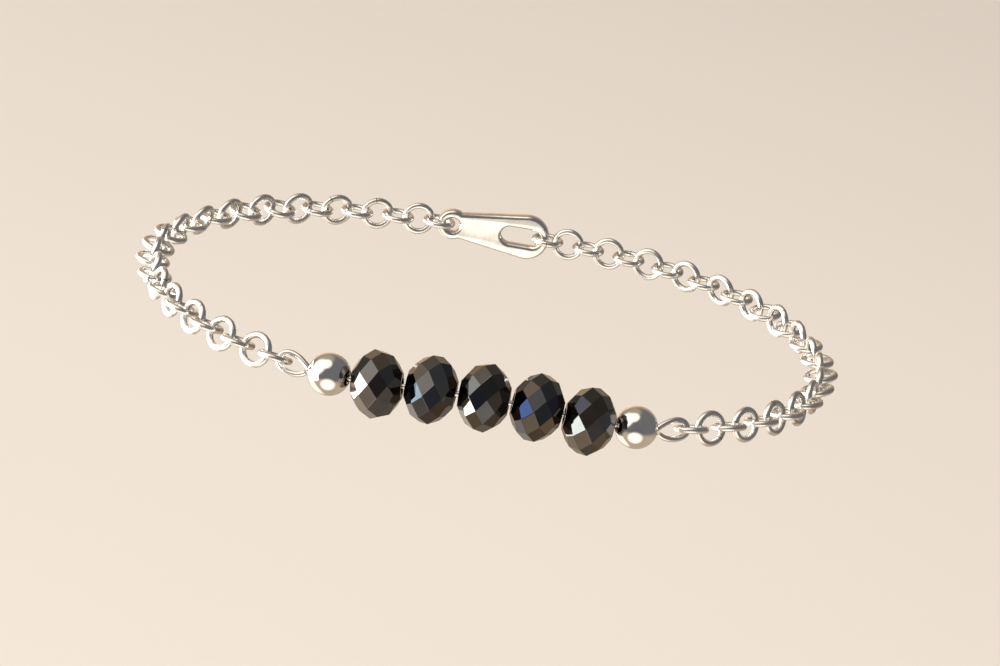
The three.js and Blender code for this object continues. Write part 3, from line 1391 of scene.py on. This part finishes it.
@dataclass(frozen=True)
class BraceletPlan:
    """The sizes that set where every piece comes along the loop's line.

    The solids draw the links' wire with flat sides, a little thicker than the round wire here.
    """

    beads: int = 5
    bead_gap: float = 0.26
    eye_clear_of_ball: float = 0.1
    hook_gap: float = 0.3
    solid_link_diameter: float = 3.2
    solid_link_wire_radius: float = 0.31
    link_bite: float = 0.08
    chain_roll: float = -18.0

    @property
    def bead_pitch(self) -> float:
        """The step from one faceted bead to the next."""
        return FacetedBead.length + self.bead_gap

    @property
    def ball_half_length(self) -> float:
        """Half the length of a ball along its bore."""
        return math.sqrt((SilverBall.diameter / 2) ** 2 - SilverBall.bore_radius**2)

    @property
    def ball_place(self) -> float:
        """Where the right ball sits."""
        row_end = self.bead_pitch * (self.beads - 1) / 2 + FacetedBead.length / 2
        return row_end + self.bead_gap + self.ball_half_length

    @property
    def eye_start(self) -> float:
        """Where the right eye leaves the stem."""
        return self.ball_place + self.ball_half_length + self.eye_clear_of_ball

    @property
    def link_radius(self) -> float:
        """The radius of a link's middle line in the solids."""
        return self.solid_link_diameter / 2 - self.solid_link_wire_radius

    @property
    def link_pitch(self) -> float:
        """The step from one link to the next."""
        return 2 * (self.link_radius - self.solid_link_wire_radius) + self.link_bite

    @property
    def hooked(self) -> float:
        """How far a link's middle lies past the inside of what it hooks into."""
        return self.link_radius - self.solid_link_wire_radius - self.hook_gap

    @property
    def first_link_place(self) -> float:
        """Where the right chain's first link sits."""
        return self.eye_start + EyePin.eye_length - 2 * EyePin.wire_radius + self.hooked

    @property
    def last_link_place(self) -> float:
        """Where the right chain's last link sits."""
        return self.first_link_place + self.link_pitch * (Chain.links - 1)

    def oval(self) -> Oval:
        """Gives the loop's line, whose ends meet in the middle of the clasp."""
        half_length = self.last_link_place + Clasp.reach - Clasp.bar + self.hooked
        return Oval(half_length, wire_reach=self.eye_start)

    def faceted_beads(self) -> list[FacetedBead]:
        """Seats the faceted beads from left to right.

        Returns:
            The beads, each with its own turn, tilt, swing, lift, painted flash tint and coat seed.
        """
        # The flash in each seat is a painted reflection tint: it sets the colour and brightness of
        # that bead's flash.
        seats = (  # Turn, tilt, swing, lift, flash and coat seed.
            (4.5, 4.0, -1.0, -0.1, CoatTint.WHITE, 1100),
            (16.5, -4.5, -3.5, 0.06, CoatTint.PALE_BLUE, 1184),
            (28.5, 1.0, -5.0, 0.08, CoatTint.LEAF_WHITE, 4134),
            (12.0, -2.0, -3.0, 0.1, CoatTint.DEEP_BLUE, 56),
            (17.5, 0.5, -4.5, -0.12, CoatTint.CLEAR, 5736),
        )
        middle = (self.beads - 1) / 2
        return [
            FacetedBead(i + 1, self.bead_pitch * (i - middle), *seat)
            for i, seat in enumerate(seats)
        ]

    def silver_balls(self) -> list[SilverBall]:
        """Gives the two silver balls."""
        return [SilverBall(side, side.value * self.ball_place) for side in Side]

    def chains(self) -> list[Chain]:
        """Gives the two chains, each with its links' seams in places of their own."""
        seam_seeds = {Side.LEFT: 5, Side.RIGHT: 11}
        start, pitch, roll = self.first_link_place, self.link_pitch, self.chain_roll
        return [Chain(side, start, pitch, roll, seed) for side, seed in seam_seeds.items()]


# ---- The studio ----


def direction(azimuth: float, elevation: float) -> Vector:
    """Gives a unit direction: azimuth 0 is the front, on -Y, and 90 the right, in degrees."""
    a, e = math.radians(azimuth), math.radians(elevation)
    return Vector((math.sin(a) * math.cos(e), -math.cos(a) * math.cos(e), math.sin(e)))


@dataclass(frozen=True)
class ViewingCamera:
    """A long lens a little above the loop, a little to its left and leaning."""

    azimuth: float = -2.62
    elevation: float = 19.3
    lean: float = 10.76
    distance: float = 350.0
    lens: float = 137.5
    sensor: float = 36.0
    sees: Pair = (1.0, 20000.0)
    aim_across: float = 1.4
    aim_up: float = -2.01

    def build(self) -> None:
        """Makes the camera and hands it to the scene."""
        back = direction(self.azimuth, self.elevation)
        across = direction(self.azimuth + 90, 0.0)
        up = back.cross(across)
        lean = math.radians(self.lean)
        right_axis = across * math.cos(lean) + up * math.sin(lean)
        up_axis = up * math.cos(lean) - across * math.sin(lean)
        data = bpy.data.cameras.new("viewing_camera")
        data.lens = self.lens
        data.sensor_width = self.sensor
        data.clip_start, data.clip_end = (limit * MM for limit in self.sees)
        camera = put_in_scene("viewing_camera", data)
        place = across * self.aim_across + up * self.aim_up + back * self.distance
        turned = Matrix((right_axis, up_axis, back)).transposed().to_4x4()
        camera.matrix_world = Matrix.Translation(place * MM) @ turned
        bpy.context.scene.camera = camera


@dataclass(frozen=True)
class SoftPanel:
    """A soft lighting panel that faces the beads."""

    name: str
    azimuth: float
    elevation: float
    distance: float
    width: float
    height: float
    brightness: float
    colour: Colour
    shows_in_mirrors: bool = True
    lights_floor: bool = True
    faces: Triple = (-5.0, -25.0, 0.0)

    def build(self) -> None:
        """Makes the panel, with a power that gives its brightness over its area."""
        data = bpy.data.lights.new(self.name, "AREA")
        data.shape = "RECTANGLE"
        data.size, data.size_y = self.width * MM, self.height * MM
        data.energy = self.brightness * math.pi * data.size * data.size_y
        data.color = self.colour
        panel = put_in_scene(self.name, data)
        towards = direction(self.azimuth, self.elevation)
        place = (Vector(self.faces) + towards * self.distance) * MM
        panel.matrix_world = Matrix.LocRotScale(place, towards.to_track_quat("Z", "Y"), None)
        panel.visible_camera = False
        panel.visible_glossy = self.shows_in_mirrors
        panel.visible_diffuse = self.lights_floor


@dataclass(frozen=True)
class Glow:
    """A soft patch of the room's own light, which is full over its core."""

    azimuth: float
    elevation: float
    spread: float
    colour: Colour
    core: float = 0.45

    @property
    def edge(self) -> Pair:
        """The cosines of the angles at which the patch begins and is full."""
        return tuple(math.cos(math.radians(self.spread * share)) for share in (1.0, self.core))


@dataclass(frozen=True)
class Studio:
    """The pale floor, the soft panels and the dim room round the bracelet."""

    floor_drop: float = 80.0
    floor_reach: float = 6000.0
    room_front: Colour = (0.155, 0.153, 0.159)
    room_back: Colour = (0.44, 0.34, 0.25)
    room_low: Colour = (0.50, 0.40, 0.30)
    back_edge: Pair = (0.65, 1.0)
    low_edge: Pair = (-0.15, -0.5)
    backdrop: Colour = (0.86, 0.82, 0.78)

    def build_floor(self) -> None:
        """Makes the plain pale floor."""
        mesh = bpy.data.meshes.new("floor")
        reach, drop = self.floor_reach * MM, -self.floor_drop * MM
        signs = ((-1, -1), (1, -1), (1, 1), (-1, 1))
        mesh.from_pydata([(reach * x, reach * y, drop) for x, y in signs], [], [(0, 1, 2, 3)])
        mesh.materials.append(PaleFloorPaint().material())
        floor = put_in_scene("floor", mesh)
        floor.visible_glossy = False

    def panels(self) -> tuple[SoftPanel, ...]:
        """Sets up the soft panels.

        Returns:
            The window on the left and the wash over the floor.
        """
        window = SoftPanel(
            "window", -103.0, -14.0, 122.0, 220.0, 84.0, 7.6, (1.0, 1.0, 1.0), lights_floor=False
        )
        wash = SoftPanel(
            "floor_wash", -60.0, 70.0, 900.0, 900.0, 900.0, 3.1, (1.0, 0.985, 0.96),
            shows_in_mirrors=False,
        )
        return window, wash

    def glows(self) -> tuple[Glow, ...]:
        """Sets up the room's patches of light.

        Returns:
            The patches: bright at the upper left, warm behind and below.
        """
        return (
            Glow(-120.0, 52.0, 52.0, (0.40, 0.34, 0.27)),
            Glow(-128.0, -46.0, 36.0, (1.35, 1.22, 1.04)),
            Glow(0.0, -42.0, 42.0, (1.50, 1.36, 1.18)),
            Glow(-170.0, 0.0, 24.0, (0.90, 0.63, 0.40)),
            Glow(-60.0, 64.0, 34.0, (1.35, 1.25, 1.12)),
            Glow(-82.0, 31.0, 46.0, (1.45, 1.36, 1.24)),
        )

    def build_room(self) -> None:
        """Makes the room's light, which mirrors see, and the plain backdrop behind the floor."""
        world = bpy.data.worlds.new("room")
        world.use_nodes = True
        bench = NodeBench(world.node_tree)
        bench.tree.nodes.clear()
        towards = bench.add("ShaderNodeTexCoord").outputs["Generated"]
        along = bench.add("ShaderNodeSeparateXYZ", Vector=towards).outputs
        behind = bench.ramp(along["Y"], self.back_edge, ease=Ease.SOFT)
        light = bench.mix(behind, self.room_front, self.room_back)
        below = bench.ramp(along["Z"], self.low_edge, ease=Ease.SOFT)
        light = bench.mix(below, light, self.room_low)
        for glow in self.glows():
            nearness = bench.add("ShaderNodeVectorMath", {"operation": "DOT_PRODUCT"})
            bench.feed(nearness.inputs[0], towards)
            bench.feed(nearness.inputs[1], direction(glow.azimuth, glow.elevation))
            patch = bench.ramp(nearness.outputs["Value"], glow.edge, ease=Ease.SOFTER)
            light = bench.mix(patch, light, glow.colour)
        seen = bench.add("ShaderNodeLightPath").outputs["Is Camera Ray"]
        shown = bench.mix(seen, light, self.backdrop)
        background = bench.add("ShaderNodeBackground", Color=shown)
        bench.add("ShaderNodeOutputWorld", Surface=background.outputs[0])
        bpy.context.scene.world = world

    def build(self) -> None:
        """Makes the whole studio."""
        self.build_floor()
        for panel in self.panels():
            panel.build()
        self.build_room()
        bpy.context.scene.view_settings.view_transform = "Standard"


# ---- The whole ----


def main() -> None:
    """Builds the camera, the studio and the bracelet's pieces in order, and reports each piece."""
    logging.basicConfig(level=logging.INFO, format="%(message)s")
    ViewingCamera().build()
    Studio().build()

    plan = BraceletPlan()
    oval = plan.oval()
    pin = EyePin(plan.eye_start, plan.chain_roll)
    clasp = Clasp(plan.last_link_place)
    for finish, parts in (
        (DarkMirrorGlass(), plan.faceted_beads()),
        (PolishedSilver("ball_silver", 0.08, haze=0.35, scratches=0.45), plan.silver_balls()),
        (PolishedSilver("wire_silver", 0.2), [pin]),
        (LinkSilver("chain_silver", 0.25, scratches=0.6), plan.chains()),
        (PolishedSilver("clasp_silver", 0.14, scratches=0.7), [clasp]),
    ):
        for part in parts:
            piece = part.build(oval, finish)
            log.info("%s: %d faces", piece.name, len(piece.data.polygons))


if __name__ == "__main__":
    main()
